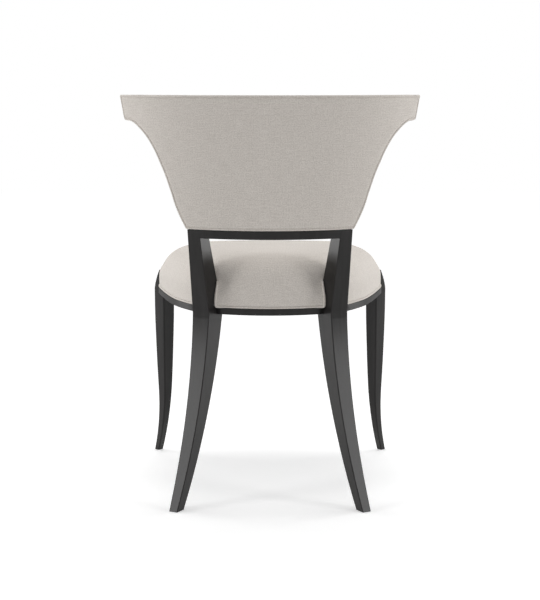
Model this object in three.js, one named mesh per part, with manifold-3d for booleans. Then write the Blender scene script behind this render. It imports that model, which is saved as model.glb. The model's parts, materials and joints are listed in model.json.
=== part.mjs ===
// A klismos dining chair: sabre legs, a show-wood seat frame, a crowned seat
// and a bowed, upholstered back whose wings flare out at the top.
//
// Millimetres, +Z up, the sitter faces -Y. The rear legs, the back rail and the
// back are all gathered about one upright line, the axis. Pieces are drawn with
// the axis at x = 0, y = 0, and the finished chair is then moved so that its
// origin is the middle of its footprint.

import * as THREE from "three";
import { mergeVertices } from "three/addons/utils/BufferGeometryUtils.js";
import Module from "manifold-3d";

const wasm = await Module();
wasm.setup();

// Overall sizes
const overallHeight = 850;
const jointGap = 0.3;
const cutOverrun = 20;

// Rear legs, which run up into the back
const rearLegAngle = THREE.MathUtils.degToRad(29.2);
const rearLeg = {
  footReach: 409.5, footLean: 0.504, footWidth: 19.8, footDepth: 26.6,
  kneeReach: 296, kneeLean: 0.079, kneeWidth: 40.3, kneeDepth: 55.9,
  topWidth: 28.5, topDepth: 34.8, edgeEase: 2.5, proud: 29,
  tongueWidth: 24, tongueThickness: 12, tongueEase: 1.5, tongueLength: 214,
};

// Seat frame, which the rear legs stand proud of
const bandBottom = 395;
const bandHeight = 14.8;
const railHeight = 46;
const railThickness = 20;
const rebateDepth = 5;
const seatHalfWidth = 257.3;
const seatRearReach = rearLeg.kneeReach - rearLeg.proud;
const seatFrontReach = 190.6;
const tenonThickness = 9;
const tenonHeight = 9;
const tenonLength = 15;

// Front legs, square and turned to the diagonal
const frontLeg = {
  side: 34, edgeEase: 5, centreInset: 9.8, centreBack: 56.6,
  toeOut: 20.7, toeForward: 51, toeHeight: 170, toeEase: 2.5,
  shoulderBelow: 12, shoulderHeight: 46, shoulderInset: 12,
};
const coverClearance = 0.6;

// Back
const backRailHeight = 17.3;
const backRailTop = 576;
const backRailReach = 324.4;
const backRailDepth = 30;
const backTopReach = 374.25;
const wingAngle = THREE.MathUtils.degToRad(56.8);
const back = {
  thickness: 50, crown: 8, coverThickness: 1.6, waddingThickness: 3.9,
  coreThickness: 18, weltDiameter: 4.8,
};

// Seat upholstery
const crownHeight = 107.4;
const seatCoverThickness = 4.4;
const seatWeltDiameter = 4.8;
const seatWeltInset = 2.2;
const notchClearance = 0.7;
const notchWeltHeight = 56;

// Webbing under the seat foam
const webbing = { width: 40, thickness: 1.6, lift: 1.3, flat: 22, endInset: 12 };

// Glue blocks, screws, glides and the dust cover
const block = { length: 80, thickness: 26, height: 32, rise: 6, frontBack: 50 };
const screw = { headRadius: 4, headHeight: 2.4, shankRadius: 2, length: 36, offset: 28 };
const tongueScrew = { headRadius: 4, headHeight: 2.4, shankRadius: 2, length: 15.5 };
const glide = { rearRadius: 7, frontRadius: 5, padHeight: 0.8, pinRadius: 1.4, pinLength: 14 };
const dustCoverThickness = 0.8;
const dustCoverInset = 8;

// The seat's outline is an arc about the axis between the rear legs. From there a
// side runs to the widest place: share of the way out, share of the way forward
const seatSideShares = [
  [0.167, 0.052], [0.324, 0.124], [0.491, 0.236], [0.611, 0.338], [0.753, 0.508],
  [0.887, 0.715], [0.988, 0.898],
];
// The front runs on to the middle: share of the half width, share of the front reach
const seatFrontShares = [
  [1, 0.572], [0.985, 0.703], [0.94, 0.781], [0.832, 0.838], [0.58, 0.917], [0.29, 0.98], [0, 1],
];
// The cushion's rounding: share of the crown height, then the share of the plan
// that is left at the sides and at the rear
const cushionShares = [
  [0.315, 1, 1], [0.495, 0.955, 0.988], [0.665, 0.906, 0.965], [0.785, 0.845, 0.93],
  [0.855, 0.787, 0.89], [0.905, 0.73, 0.845], [0.965, 0.66, 0.75], [0.99, 0.54, 0.58],
  [1, 0.26, 0.27],
];
// The wing's edge: share of the back's height, share of the wing angle
const wingShares = [
  [0, 0.5746], [0.095, 0.6134], [0.1825, 0.6406], [0.274, 0.6589], [0.409, 0.6904], [0.5, 0.7189],
  [0.588, 0.7487], [0.675, 0.7911], [0.735, 0.8357], [0.782, 0.8855], [0.803, 0.927],
  [0.807, 0.9688], [0.8225, 0.994], [0.92, 0.9971], [1, 1],
];
// How the front leg grows from foot to seat: share of its height, share of its side
const frontLegGrowthShares = [
  [0, 0.425], [0.14, 0.485], [0.28, 0.575], [0.525, 0.79], [0.82, 0.965], [1, 1],
];
const legSwellShares = { width: 0.857, depth: 0.985 };
const shoulderRollShare = 1.5;
const strapShares = [-1, -1 / 3, 1 / 3, 1];
const crossStrapReachShare = 0.66;

// Worked-out heights and places
const bandTop = bandBottom + bandHeight;
const railTop = bandBottom + railHeight;
const kneeHeight = bandBottom + bandHeight / 4;
const backRailBottom = backRailTop - backRailHeight;
const backBottom = backRailTop + jointGap + coverClearance / 2;
const seatCentre = new THREE.Vector2(0, (seatRearReach - seatFrontReach) / 2);

const lacquer = () => new THREE.MeshStandardMaterial({ color: 0x2b2a29, roughness: 0.34 });
const linen = () => new THREE.MeshStandardMaterial({ color: 0xd3cdc6, roughness: 0.95 });
const beech = () => new THREE.MeshStandardMaterial({ color: 0xc9a878, roughness: 0.7 });
const foam = () => new THREE.MeshStandardMaterial({ color: 0xe8dfc4, roughness: 1 });
const steel = () => new THREE.MeshStandardMaterial({ color: 0xa9a9a6, roughness: 0.35, metalness: 1 });
const nylon = () => new THREE.MeshStandardMaterial({ color: 0x232323, roughness: 0.5 });
const jute = () => new THREE.MeshStandardMaterial({ color: 0x8d7a5b, roughness: 1 });
const cambric = () => new THREE.MeshStandardMaterial({ color: 0x1f1f1f, roughness: 1 });

const chair = new THREE.Group();

function addPart(name, solid, material) {
  const { vertProperties, triVerts } = solid.getMesh();
  const geometry = new THREE.BufferGeometry();
  geometry.setAttribute("position", new THREE.BufferAttribute(new Float32Array(vertProperties), 3));
  geometry.setIndex(Array.from(triVerts));
  geometry.computeVertexNormals();
  const mesh = new THREE.Mesh(geometry, material);
  mesh.name = name;
  chair.add(mesh);
}

// Solids

// A closed body from its corners and triangles, turned to face out
function bodyFrom(corners, triangles) {
  let volume = 0;
  for (const [a, b, c] of triangles) {
    volume += corners[a].dot(new THREE.Vector3().crossVectors(corners[b], corners[c]));
  }
  const facing = volume < 0 ? triangles.map(([a, b, c]) => [a, c, b]) : triangles;
  return new wasm.Manifold(new wasm.Mesh({
    numProp: 3,
    vertProperties: new Float32Array(corners.flatMap((corner) => corner.toArray())),
    triVerts: new Uint32Array(facing.flat()),
  }));
}

function bodyFromGeometry(geometry, placement = new THREE.Matrix4()) {
  const plain = geometry.clone().applyMatrix4(placement);
  plain.deleteAttribute("normal");
  plain.deleteAttribute("uv");
  const merged = mergeVertices(plain);
  const place = merged.getAttribute("position");
  const corners = [];
  for (let i = 0; i < place.count; i += 1) {
    corners.push(new THREE.Vector3().fromBufferAttribute(place, i));
  }
  const index = merged.getIndex().array;
  const triangles = [];
  for (let i = 0; i < index.length; i += 3) {
    triangles.push([index[i], index[i + 1], index[i + 2]]);
  }
  return bodyFrom(corners, triangles);
}

// The same body on the other side of the chair
function mirrored(solid) {
  const { vertProperties, triVerts } = solid.getMesh();
  const corners = [];
  for (let i = 0; i < vertProperties.length; i += 3) {
    corners.push(new THREE.Vector3(-vertProperties[i], vertProperties[i + 1], vertProperties[i + 2]));
  }
  const triangles = [];
  for (let i = 0; i < triVerts.length; i += 3) {
    triangles.push([triVerts[i], triVerts[i + 1], triVerts[i + 2]]);
  }
  return bodyFrom(corners, triangles);
}

// A skin over rings of equally many points, with flat or fanned ends
function loft(rings, closed = false) {
  const corners = rings.flat();
  const count = rings[0].length;
  const spans = closed ? rings.length : rings.length - 1;
  const triangles = [];
  for (let i = 0; i < spans; i += 1) {
    const near = i * count;
    const far = ((i + 1) % rings.length) * count;
    for (let j = 0; j < count; j += 1) {
      const next = (j + 1) % count;
      triangles.push([near + j, near + next, far + next], [near + j, far + next, far + j]);
    }
  }
  if (!closed) {
    for (const [ring, start] of [[rings[0], 0], [rings[rings.length - 1], spans * count]]) {
      const middle = ring.reduce((sum, point) => sum.add(point), new THREE.Vector3());
      const hub = corners.push(middle.divideScalar(count)) - 1;
      for (let j = 0; j < count; j += 1) {
        const next = (j + 1) % count;
        const fan = [hub, start + j, start + next];
        triangles.push(start === 0 ? [fan[0], fan[2], fan[1]] : fan);
      }
    }
  }
  return bodyFrom(corners, triangles);
}

// A round bead along a line of points, mitred where the line turns
function bead(points, radius, sides, closed) {
  const count = points.length;
  const legs = points.map((point, i) => points[(i + 1) % count].clone().sub(point).normalize());
  if (!closed) legs[count - 1] = legs[count - 2];
  const start = closed ? legs[count - 1] : legs[0];
  let across = new THREE.Vector3().crossVectors(start, new THREE.Vector3(0, 0, 1));
  if (across.length() < Number.EPSILON) across.set(1, 0, 0);
  across.normalize();
  const rings = points.map((point, i) => {
    const before = i > 0 ? legs[i - 1] : start;
    const up = new THREE.Vector3().crossVectors(before, across);
    const mitre = before.clone().add(legs[i]).normalize();
    const onMitre = (offset) => offset.addScaledVector(before, -offset.dot(mitre) / before.dot(mitre));
    const ring = [];
    for (let j = 0; j < sides; j += 1) {
      const turn = (j / sides) * 2 * Math.PI;
      const offset = across.clone().multiplyScalar(radius * Math.cos(turn));
      offset.addScaledVector(up, radius * Math.sin(turn));
      ring.push(onMitre(offset).add(point));
    }
    const carried = onMitre(across.clone());
    across = carried.addScaledVector(legs[i], -carried.dot(legs[i])).normalize();
    return ring;
  });
  return loft(rings, closed);
}

// A rectangle with eased corners, three points to a corner
function easedSection(width, depth, ease) {
  const section = [];
  const signs = [[1, 1], [-1, 1], [-1, -1], [1, -1]];
  signs.forEach(([sx, sy], corner) => {
    for (let step = 0; step < 3; step += 1) {
      const turn = (corner + step / 2) * (Math.PI / 2);
      section.push(new THREE.Vector2(
        sx * (width / 2 - ease) + ease * Math.cos(turn),
        sy * (depth / 2 - ease) + ease * Math.sin(turn),
      ));
    }
  });
  return section;
}

// Places about the axis: x runs across the radius, y outward, z up
function polar(reach, angle, z) {
  return new THREE.Vector3(reach * Math.sin(angle), reach * Math.cos(angle), z);
}

function radialFrame(angle, reach, z) {
  return new THREE.Matrix4().makeRotationZ(-angle).setPosition(polar(reach, angle, z));
}

function boxAt(frame, low, high) {
  const size = high.clone().sub(low);
  const middle = high.clone().add(low).multiplyScalar(1 / 2);
  const shift = new THREE.Matrix4().setPosition(middle);
  return bodyFromGeometry(new THREE.BoxGeometry(size.x, size.y, size.z), frame.clone().multiply(shift));
}

function mix(from, to, share) {
  return from + (to - from) * share;
}

// A value between the rows of a table of share pairs
function alongTable(table, share) {
  const above = table.findIndex(([at]) => at > share);
  const row = above < 0 ? table.length - 2 : Math.max(above - 1, 0);
  const [[x0, y0], [x1, y1]] = [table[row], table[row + 1]];
  return mix(y0, y1, Math.min((share - x0) / (x1 - x0), 1));
}

// Rear legs

const rearSweep = new THREE.CubicBezierCurve(
  new THREE.Vector2(rearLeg.footReach, 0),
  new THREE.Vector2(rearLeg.footReach - (rearLeg.footLean * kneeHeight) / 3, kneeHeight / 3),
  new THREE.Vector2(rearLeg.kneeReach + (rearLeg.kneeLean * kneeHeight) / 3, (2 * kneeHeight) / 3),
  new THREE.Vector2(rearLeg.kneeReach, kneeHeight),
);

function coneReach(z) {
  return mix(backRailReach, backTopReach, (z - backRailTop) / (overallHeight - backRailTop));
}

// The distance from the axis to the rear face of leg and post
function rearFaceReach(z) {
  if (z < kneeHeight) return rearSweep.getPoint(z / kneeHeight).x;
  if (z > backRailTop) return coneReach(z);
  return mix(rearLeg.kneeReach, backRailReach, (z - kneeHeight) / (backRailTop - kneeHeight));
}

function rearLegSize(z, foot, knee, top, swellShare) {
  if (z < kneeHeight) return mix(foot, knee, (z / kneeHeight) ** swellShare);
  return mix(knee, top, (z - kneeHeight) / (backRailTop - kneeHeight));
}

function rearLegWidth(z) {
  return rearLegSize(z, rearLeg.footWidth, rearLeg.kneeWidth, rearLeg.topWidth, legSwellShares.width);
}

function rearLegDepth(z) {
  return rearLegSize(z, rearLeg.footDepth, rearLeg.kneeDepth, rearLeg.topDepth, legSwellShares.depth);
}

const tongueInset = back.coverThickness + back.waddingThickness + 6 * jointGap;

function radialRing(section, reach, z) {
  const frame = radialFrame(rearLegAngle, reach, z);
  return section.map((point) => new THREE.Vector3(point.x, point.y, 0).applyMatrix4(frame));
}

function rearLegBody(grow = 0) {
  const legSteps = 12;
  const postSteps = 5;
  const foot = glide.padHeight - grow;
  const rings = [];
  for (let i = 0; i <= legSteps + postSteps; i += 1) {
    const onLeg = i <= legSteps;
    const z = onLeg
      ? mix(foot, kneeHeight, i / legSteps)
      : mix(kneeHeight, backRailTop, (i - legSteps) / postSteps);
    const level = Math.max(z, 0);
    const depth = rearLegDepth(level);
    const section = easedSection(
      rearLegWidth(level) + 2 * grow, depth + 2 * grow, rearLeg.edgeEase + grow,
    );
    const rise = i === legSteps + postSteps ? grow : 0;
    rings.push(radialRing(section, rearFaceReach(level) - depth / 2, z + rise));
  }
  return loft(rings);
}

// The tongue that carries the back; the groove for it also opens to the rear
function tongueBody(grow = 0, rearGrow = grow) {
  const depth = rearLeg.tongueThickness + grow + rearGrow;
  const section = easedSection(rearLeg.tongueWidth + 2 * grow, depth, rearLeg.tongueEase);
  const rings = [backRailTop - rearLeg.tongueThickness, backRailTop + rearLeg.tongueLength + grow].map(
    (z) => radialRing(section, coneReach(z) - tongueInset + rearGrow - depth / 2, z),
  );
  return loft(rings);
}

// Front legs

const frontLegCentre = new THREE.Vector2(
  seatHalfWidth - frontLeg.centreInset, frontLeg.centreBack - seatFrontReach,
);
const shoulderStart = bandTop - frontLeg.shoulderBelow;
const shoulderTop = shoulderStart + frontLeg.shoulderHeight;

function frontLegShaft(grow, shoulderInset) {
  const lowSteps = 9;
  const shaftSteps = 5;
  const rollSteps = 5;
  const foot = glide.padHeight - grow;
  const heights = [];
  for (let i = 0; i < lowSteps; i += 1) heights.push(mix(foot, frontLeg.toeHeight, i / lowSteps));
  for (let i = 0; i < shaftSteps; i += 1) {
    heights.push(mix(frontLeg.toeHeight, shoulderStart, i / shaftSteps));
  }
  for (let i = 0; i <= rollSteps; i += 1) heights.push(mix(shoulderStart, shoulderTop, i / rollSteps));
  const rings = heights.map((z) => {
    const sweep = Math.max(1 - z / frontLeg.toeHeight, 0) ** 2;
    const roll = Math.max((z - shoulderStart) / frontLeg.shoulderHeight, 0) ** shoulderRollShare;
    const growth = alongTable(frontLegGrowthShares, Math.min(Math.max(z, 0) / bandBottom, 1));
    const ease = mix(frontLeg.toeEase, frontLeg.edgeEase, growth);
    const side = frontLeg.side * growth + 2 * grow;
    const lean = shoulderInset * roll;
    const x = frontLegCentre.x + frontLeg.toeOut * sweep - lean;
    const y = frontLegCentre.y - frontLeg.toeForward * sweep + lean;
    const frame = new THREE.Matrix4().makeRotationZ(Math.PI / 4).setPosition(x, y, z);
    return easedSection(side, side, ease + grow).map(
      (point) => new THREE.Vector3(point.x, point.y, 0).applyMatrix4(frame),
    );
  });
  return loft(rings);
}

// The shoulder above the rails is rolled over towards the cushion
function frontLegBody(grow = 0) {
  return frontLegShaft(grow, 0).intersect(frontLegShaft(grow, frontLeg.shoulderInset));
}

// Seat frame

const rearArc = [0, 1, 2, 3].map((step) => polar(seatRearReach, (rearLegAngle * step) / 3, 0));
const frontEdge = seatFrontShares.map(([across, along]) => new THREE.Vector3(
  across * seatHalfWidth, -along * seatFrontReach, 0,
));
const [atLeg, widest] = [rearArc[3], frontEdge[0]];
const sideEdge = seatSideShares.map(([across, along]) => new THREE.Vector3(
  mix(atLeg.x, widest.x, across), mix(atLeg.y, widest.y, along), 0,
));
const seatPlanPoints = [...rearArc, ...sideEdge, ...frontEdge];
const otherHalf = seatPlanPoints.slice(1, -1).reverse();
const seatPlanCurve = new THREE.CatmullRomCurve3(
  [...seatPlanPoints, ...otherHalf.map((point) => new THREE.Vector3(-point.x, point.y, 0))],
  true,
);
const planSteps = 2 * seatPlanCurve.points.length;
const seatPlan = Array.from({ length: planSteps }, (_, i) => {
  const point = seatPlanCurve.getPoint(i / planSteps);
  const along = seatPlanCurve.getTangent(i / planSteps);
  const outward = new THREE.Vector2(-along.y, along.x);
  const fromCentre = new THREE.Vector2(point.x, point.y).sub(seatCentre);
  if (outward.dot(fromCentre) < 0) outward.negate();
  return { point: new THREE.Vector2(point.x, point.y), outward, fromCentre };
});

// The outline moved square to itself, for small steps
function planOffset(offset, z) {
  return seatPlan.map(({ point, outward }) => new THREE.Vector3(
    point.x + outward.x * offset, point.y + outward.y * offset, z,
  ));
}

// The outline drawn in towards the seat's middle, for large steps
function planInset(inset, z) {
  return seatPlan.map(({ fromCentre }) => {
    const share = 1 - inset / fromCentre.length();
    return new THREE.Vector3(seatCentre.x + fromCentre.x * share, seatCentre.y + fromCentre.y * share, z);
  });
}

// All four rails in one: a show-wood band with a rebate for the cover above it
function railRing(grow = 0) {
  const full = railThickness + rebateDepth + grow;
  const edges = [
    planOffset(0, bandBottom), planOffset(0, bandTop),
    planOffset(-rebateDepth, bandTop), planOffset(-rebateDepth, railTop),
    planInset(full, railTop), planInset(full, bandBottom),
  ];
  return loft(seatPlan.map((_, i) => edges.map((edge) => edge[i])), true);
}

// A wedge about the axis that keeps the pieces between two angles
function wedge(from, to, low, high) {
  const reach = 3 * seatRearReach;
  const sides = [];
  for (let i = 0; i <= 4; i += 1) sides.push(mix(from, to, i / 4));
  const level = (z) => [new THREE.Vector3(0, 0, z), ...sides.map((angle) => polar(reach, angle, z))];
  return loft([level(low), level(high)]);
}

// Where a rail's tenon enters a rear post, from either face
function postTenon(side, grow = 0) {
  const face = (side * rearLeg.kneeWidth) / 2;
  const centre = (seatRearReach + rearLeg.kneeReach - rearLeg.kneeDepth) / 2;
  const ends = [face + side * rebateDepth, face - side * (tenonLength + grow)];
  return boxAt(
    radialFrame(rearLegAngle, centre, bandBottom + tenonThickness / 3),
    new THREE.Vector3(Math.min(...ends), -tenonThickness / 2 - grow, -grow),
    new THREE.Vector3(Math.max(...ends), tenonThickness / 2 + grow, tenonHeight + grow),
  );
}

// The side rail enters the front leg from behind, the front rail from inside
const legHalfDiagonal = frontLeg.side / Math.SQRT2;

function sideTenon(grow = 0) {
  const frame = new THREE.Matrix4().setPosition(
    frontLegCentre.x, frontLegCentre.y, bandBottom + tenonThickness / 3,
  );
  return boxAt(
    frame,
    new THREE.Vector3(-tenonThickness / 2 - grow, legHalfDiagonal - tenonLength - grow, -grow),
    new THREE.Vector3(tenonThickness / 2 + grow, legHalfDiagonal + rebateDepth, tenonHeight + grow),
  );
}

function frontTenon(grow = 0) {
  const frame = new THREE.Matrix4().setPosition(
    frontLegCentre.x, frontLegCentre.y - legHalfDiagonal / 2, bandBottom + tenonThickness / 3,
  );
  const face = -legHalfDiagonal / 2;
  return boxAt(
    frame,
    new THREE.Vector3(face - 2 * rebateDepth, -tenonThickness / 2 - grow, -grow),
    new THREE.Vector3(face + tenonLength + grow, tenonThickness / 2 + grow, tenonHeight + grow),
  );
}

// Screws and glides, turned about their own upright line

function turned(profile, placement, sides) {
  const points = profile.map(([radius, z]) => new THREE.Vector2(radius, z));
  const upright = new THREE.Matrix4().makeRotationX(Math.PI / 2);
  return bodyFromGeometry(new THREE.LatheGeometry(points, sides), placement.clone().multiply(upright));
}

// Head at the origin, point along +z; a cutter also clears the way to the head
function screwBody(size, placement, grow = 0) {
  const { headRadius, headHeight, shankRadius, length } = size;
  const head = headRadius + grow;
  const shank = shankRadius + grow;
  const start = grow > 0 ? -cutOverrun : 0;
  return turned([
    [0, start], [head, start], [head, headHeight / 3], [shank, headHeight + grow],
    [shank, length - 2 * shankRadius], [0, length + grow],
  ], placement, 8);
}

function glideBody(radius, centre, grow = 0) {
  const { padHeight, pinRadius, pinLength } = glide;
  const low = grow > 0 ? -cutOverrun : 0;
  const pad = grow > 0 ? pinRadius + grow : radius;
  return turned([
    [0, low], [pad, low], [pad, padHeight - jointGap],
    [pinRadius + grow, padHeight - jointGap + grow], [pinRadius + grow, pinLength + grow],
    [0, pinLength + 2 * grow],
  ], new THREE.Matrix4().setPosition(centre.x, centre.y, 0), 12);
}

// Corner blocks

const towards = (angle) => new THREE.Vector2(Math.sin(angle), Math.cos(angle));
const frontCornerAngle = 0.75 * Math.PI;
const blockReach = seatRearReach - railThickness - rebateDepth - block.thickness / 2 - jointGap;
const corners = {
  rear: {
    angle: rearLegAngle,
    middle: towards(rearLegAngle).multiplyScalar(blockReach),
    spread: 0,
  },
  front: {
    angle: frontCornerAngle,
    middle: frontLegCentre.clone().addScaledVector(towards(frontCornerAngle), -block.frontBack),
    spread: Math.PI / 4,
  },
};

function cornerFrame({ angle, middle }) {
  const z = bandBottom + block.rise + block.height / 2;
  return new THREE.Matrix4().makeRotationZ(-angle).setPosition(middle.x, middle.y, z);
}

// The two screws of a block run out through it into the rails
function cornerScrewPlacement(corner, side) {
  const start = new THREE.Matrix4().setPosition(side * screw.offset, -block.thickness / 2, 0);
  const aim = new THREE.Matrix4().makeRotationZ(side > 0 ? corner.spread : -corner.spread);
  const lay = new THREE.Matrix4().makeRotationX(-Math.PI / 2);
  return cornerFrame(corner).multiply(start).multiply(aim).multiply(lay);
}

function cornerScrew(corner, side, grow = 0) {
  return screwBody(screw, cornerScrewPlacement(corner, side), grow);
}

function cornerBlock(corner) {
  const half = new THREE.Vector3(block.length, block.thickness, block.height).multiplyScalar(1 / 2);
  let solid = boxAt(cornerFrame(corner), half.clone().negate(), half);
  solid = solid.subtract(railRing(jointGap)).intersect(insideRails).subtract(grownLegs);
  for (const side of [1, -1]) solid = solid.subtract(cornerScrew(corner, side, jointGap));
  return solid;
}

// Seat cushion

function rearward(direction) {
  return Math.max(direction.y / direction.length(), 0) ** 2;
}

// The cushion's outer form drawn in by an amount all round; the layers inside
// keep only every other ring of the rounding
function cushionForm(drawnIn, bottom, stride = 2) {
  const first = cushionShares[0][0];
  const ringAt = (side, rear, z) => seatPlan.map(({ fromCentre }) => {
    const share = mix(side, rear, rearward(fromCentre)) - drawnIn / fromCentre.length();
    return new THREE.Vector3(seatCentre.x + fromCentre.x * share, seatCentre.y + fromCentre.y * share, z);
  });
  const shoulders = cushionShares.filter((_, i) => i % stride === 0);
  const rings = [ringAt(1, 1, bottom)];
  for (const [height, side, rear] of shoulders) {
    const sink = (drawnIn * (height - first)) / (1 - first);
    rings.push(ringAt(side, rear, bandTop + crownHeight * height - sink));
  }
  return loft(rings);
}

// The outline's nearest point to a place, along one coordinate
function nearestOnPlan(isWanted, coordinate, place) {
  const points = seatPlan.map(({ point }) => point).filter(isWanted);
  return points.reduce((best, point) => (
    Math.abs(point[coordinate] - place) < Math.abs(best[coordinate] - place) ? point : best
  ));
}

// Webbing, woven over and under, its ends resting on the rails

function strapBody(alongX, place, low, high, crossings, firstSign) {
  const rest = railTop + 2 * jointGap + webbing.thickness / 2;
  const stations = [[low, rest]];
  crossings.forEach((crossing, i) => {
    const over = firstSign * (i % 2 === 0 ? 1 : -1) > 0;
    const z = rest + (over ? 2 * webbing.lift : 0);
    stations.push([crossing - webbing.flat, z], [crossing + webbing.flat, z]);
  });
  stations.push([high, rest]);
  const rings = stations.map(([run, z]) => {
    const half = webbing.width / 2;
    const thick = webbing.thickness / 2;
    const section = [[-half, -thick], [half, -thick], [half, thick], [-half, thick]];
    return section.map(([across, up]) => (alongX
      ? new THREE.Vector3(run, place + across, z + up)
      : new THREE.Vector3(place + across, run, z + up)));
  });
  return loft(rings);
}

// Back panels: grids over the bowed surface, laid between two depths

const wingCurve = new THREE.SplineCurve(wingShares.map(([up, out]) => new THREE.Vector2(up, out)));
const backRows = wingShares.map((_, i) => wingCurve.getPoint(i / (wingShares.length - 1)));
const backColumns = 14;

// A point of the back: its row, how far across, and how far in from the rear face
function backPoint(row, across, edge, depth) {
  const share = backRows[row];
  const top = row === backRows.length - 1;
  const open = mix(backBottom, overallHeight, share.x);
  const z = top ? overallHeight - edge : Math.min(open + edge, overallHeight - 1.5 * edge);
  const angle = wingAngle * Math.min(share.y, 1) - edge / coneReach(open);
  const puff = (1 - across ** 2) * Math.sin(Math.PI * Math.min(Math.max(share.x, 0), 1));
  return polar(coneReach(z) - depth(puff), angle * across, z);
}

// Layers run from the rear to the front: how far in from the edge, how deep
function backPanel(layers) {
  const width = backColumns + 1;
  const height = backRows.length;
  const grid = ({ edge, depth }) => {
    const points = [];
    for (let row = 0; row < height; row += 1) {
      for (let i = 0; i < width; i += 1) {
        points.push(backPoint(row, (2 * i) / backColumns - 1, edge, depth));
      }
    }
    return points;
  };
  const border = [];
  for (let i = 0; i < width - 1; i += 1) border.push(i);
  for (let row = 0; row < height - 1; row += 1) border.push(row * width + width - 1);
  for (let i = width - 1; i > 0; i -= 1) border.push((height - 1) * width + i);
  for (let row = height - 1; row > 0; row -= 1) border.push(row * width);
  const rear = grid(layers[0]);
  const front = grid(layers[layers.length - 1]);
  const points = [...rear, ...front];
  const loops = [border];
  for (const layer of layers.slice(1, -1)) {
    const flat = grid(layer);
    loops.push(border.map((place) => points.push(flat[place]) - 1));
  }
  loops.push(border.map((place) => place + rear.length));
  const triangles = [];
  for (let row = 0; row < height - 1; row += 1) {
    for (let i = 0; i < width - 1; i += 1) {
      const a = row * width + i;
      const [b, c, d] = [a + 1, a + width + 1, a + width];
      const f = rear.length;
      triangles.push([a, c, b], [a, d, c], [f + a, f + b, f + c], [f + a, f + c, f + d]);
    }
  }
  for (let k = 0; k < loops.length - 1; k += 1) {
    border.forEach((_, i) => {
      const next = (i + 1) % border.length;
      const [a, b, c, d] = [loops[k][i], loops[k][next], loops[k + 1][next], loops[k + 1][i]];
      triangles.push([a, b, c], [a, c, d]);
    });
  }
  return bodyFrom(points, triangles);
}

// The welt's line round the back, at one depth
function backWelt(depth) {
  const radius = back.weltDiameter / 2;
  const edge = radius;
  const last = backRows.length - 1;
  const at = (row, across) => backPoint(row, across, edge, () => depth);
  const points = [];
  for (let i = 0; i < backColumns; i += 1) points.push(at(0, (2 * i) / backColumns - 1));
  for (let row = 0; row < last; row += 1) points.push(at(row, 1));
  for (let i = backColumns; i > 0; i -= 1) points.push(at(last, (2 * i) / backColumns - 1));
  for (let row = last; row > 0; row -= 1) points.push(at(row, -1));
  return bead(points, radius, 5, true);
}

// Make the frame

const legShape = rearLegBody().add(tongueBody());
const legCutter = rearLegBody(jointGap);
const grownRearLegs = legCutter.add(mirrored(legCutter));
const frontCutter = frontLegShaft(jointGap, 0);
const grownLegs = grownRearLegs.add(frontCutter).add(mirrored(frontCutter));
const insideRails = loft([
  planInset(railThickness + rebateDepth + jointGap, 0),
  planInset(railThickness + rebateDepth + jointGap, overallHeight),
]);

function rearFootCentre() {
  const depth = rearLegDepth(0);
  const place = polar(rearFaceReach(0) - depth / 2, rearLegAngle, 0);
  return new THREE.Vector2(place.x, place.y);
}

const frontFootCentre = new THREE.Vector2(
  frontLegCentre.x + frontLeg.toeOut, frontLegCentre.y - frontLeg.toeForward,
);

function backRailTenon(grow = 0) {
  const z = backRailTop - backRailHeight / 2;
  const side = -rearLegWidth(z) / 2;
  const reach = rearFaceReach(z) - backRailDepth / 2;
  const half = tenonThickness / 2 + grow;
  return boxAt(
    radialFrame(rearLegAngle, reach, z),
    new THREE.Vector3(side - rebateDepth, -half, -half),
    new THREE.Vector3(side + tenonLength - rebateDepth / 2 + grow, half, half),
  );
}

function tongueScrewPlacement(share) {
  const z = mix(backRailTop, backRailTop + rearLeg.tongueLength, share);
  const frame = radialFrame(rearLegAngle, coneReach(z) - tongueInset, z);
  return frame.multiply(new THREE.Matrix4().makeRotationX(Math.PI / 2));
}

const tongueScrewShares = [0.2, 0.5, 0.8];

function makeRearLegs() {
  let leg = legShape.subtract(postTenon(1, jointGap)).subtract(postTenon(-1, jointGap));
  leg = leg.subtract(backRailTenon(jointGap));
  leg = leg.subtract(glideBody(glide.rearRadius, rearFootCentre(), jointGap));
  for (const share of tongueScrewShares) {
    leg = leg.subtract(screwBody(tongueScrew, tongueScrewPlacement(share), jointGap));
  }
  addPart("rear_leg_left", leg, lacquer());
  addPart("rear_leg_right", mirrored(leg), lacquer());
}

function makeFrontLegs() {
  const within = jointGap - rebateDepth;
  const coverRoom = loft([planOffset(coverClearance, bandTop), planOffset(coverClearance, overallHeight)]);
  const heart = loft([planOffset(within, 0), planOffset(within, railTop - jointGap)]);
  let leg = frontLegBody().subtract(coverRoom.subtract(heart));
  leg = leg.subtract(sideTenon(jointGap)).subtract(frontTenon(jointGap));
  leg = leg.subtract(glideBody(glide.frontRadius, frontFootCentre, jointGap));
  addPart("front_leg_left", leg, lacquer());
  addPart("front_leg_right", mirrored(leg), lacquer());
}

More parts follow.
